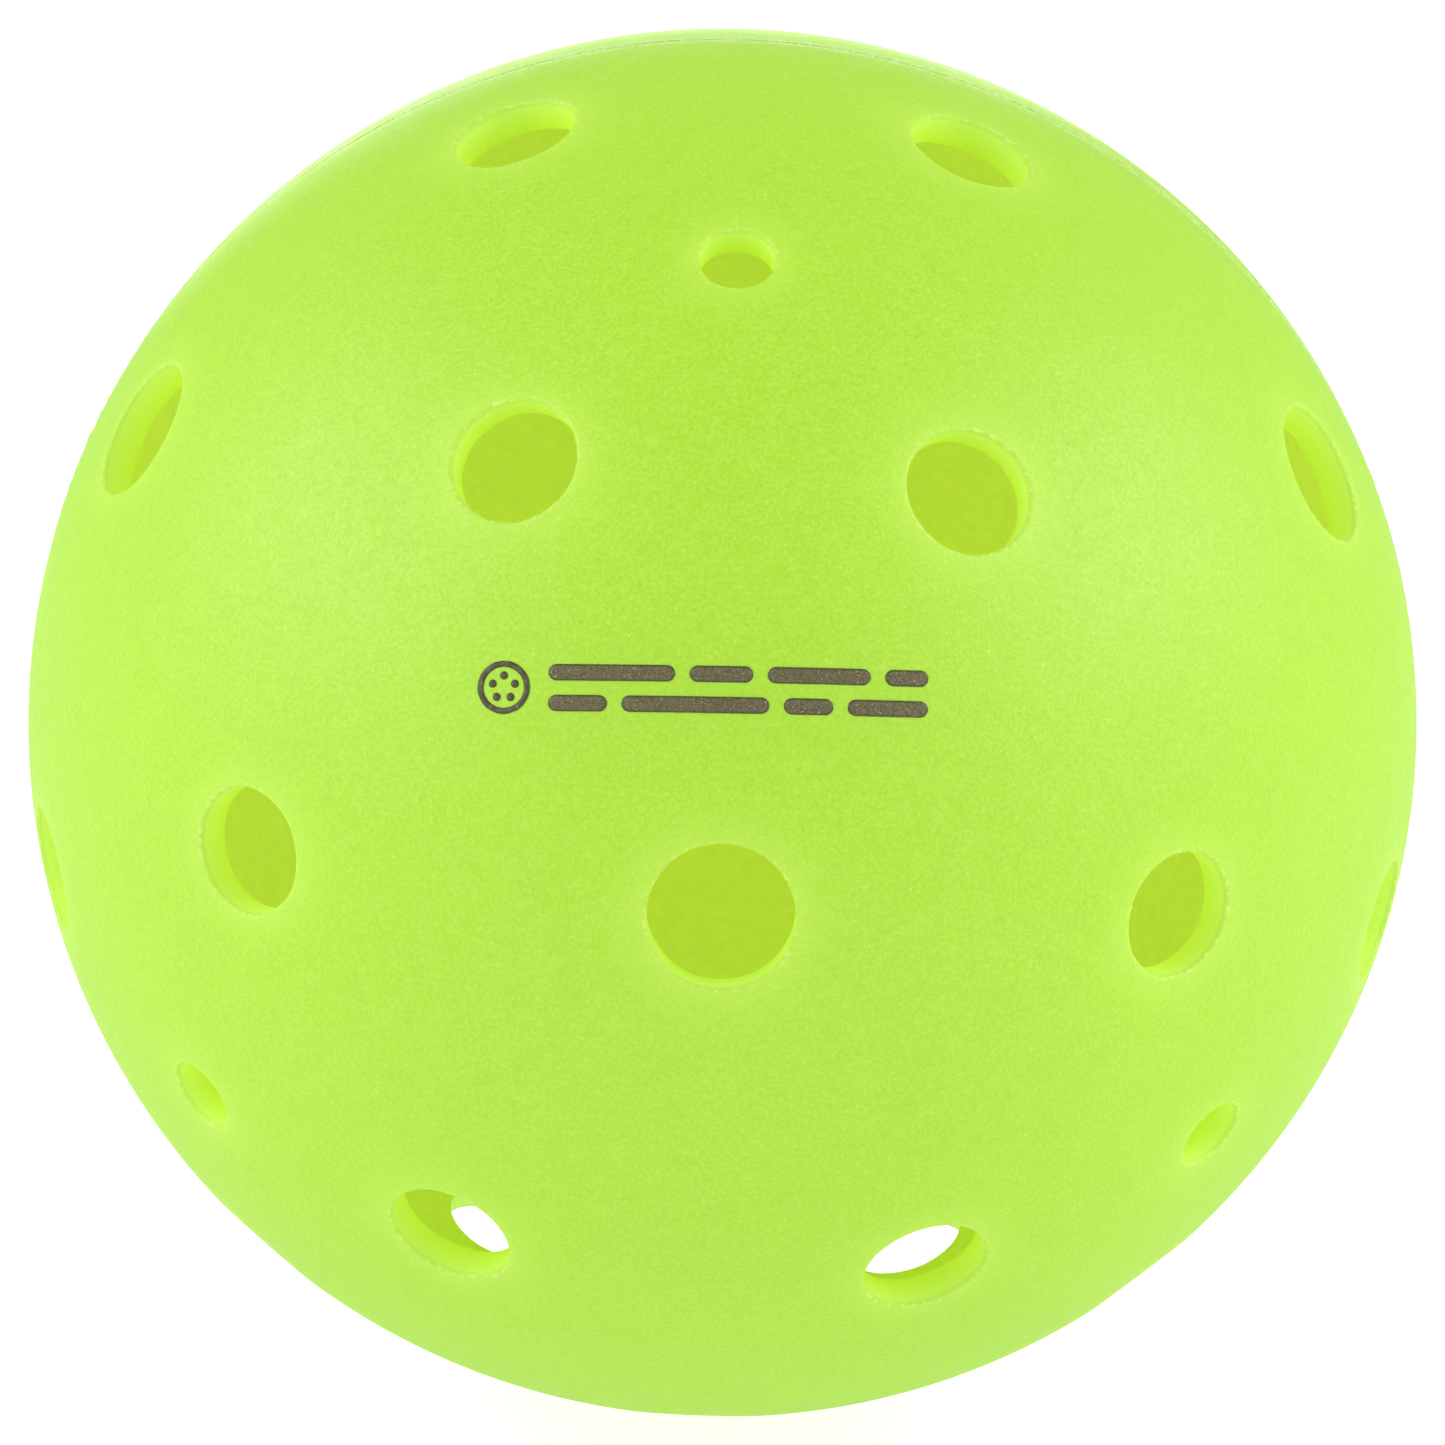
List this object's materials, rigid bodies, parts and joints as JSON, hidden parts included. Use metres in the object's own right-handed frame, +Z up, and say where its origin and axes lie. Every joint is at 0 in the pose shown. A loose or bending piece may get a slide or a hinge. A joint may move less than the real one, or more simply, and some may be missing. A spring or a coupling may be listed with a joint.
{
  "type": "pickleball ball",
  "caption": "Hollow perforated plastic ball, modelled as two drilled half shells welded edge to edge, with a plain printed mark.",
  "frame": {"origin": "centre of the ball", "axes": "-Y out through the front pole hole, on the side that carries the printed mark; +Z up; the weld lies in the XZ plane"},
  "size_m": [0.074, 0.0738, 0.074],
  "materials": {
    "shell_plastic": "fine matte, slightly translucent moulded polyethylene",
    "weld_plastic": "remelted polyethylene, trimmed flush outside",
    "ink": "dark speckled pad-printing ink"
  },
  "bodies": {
    "root": {"front_half_shell": "shell_plastic", "rear_half_shell": "shell_plastic", "weld_ring": "weld_plastic", "printed_mark": "ink"}
  },
  "joints": []
}
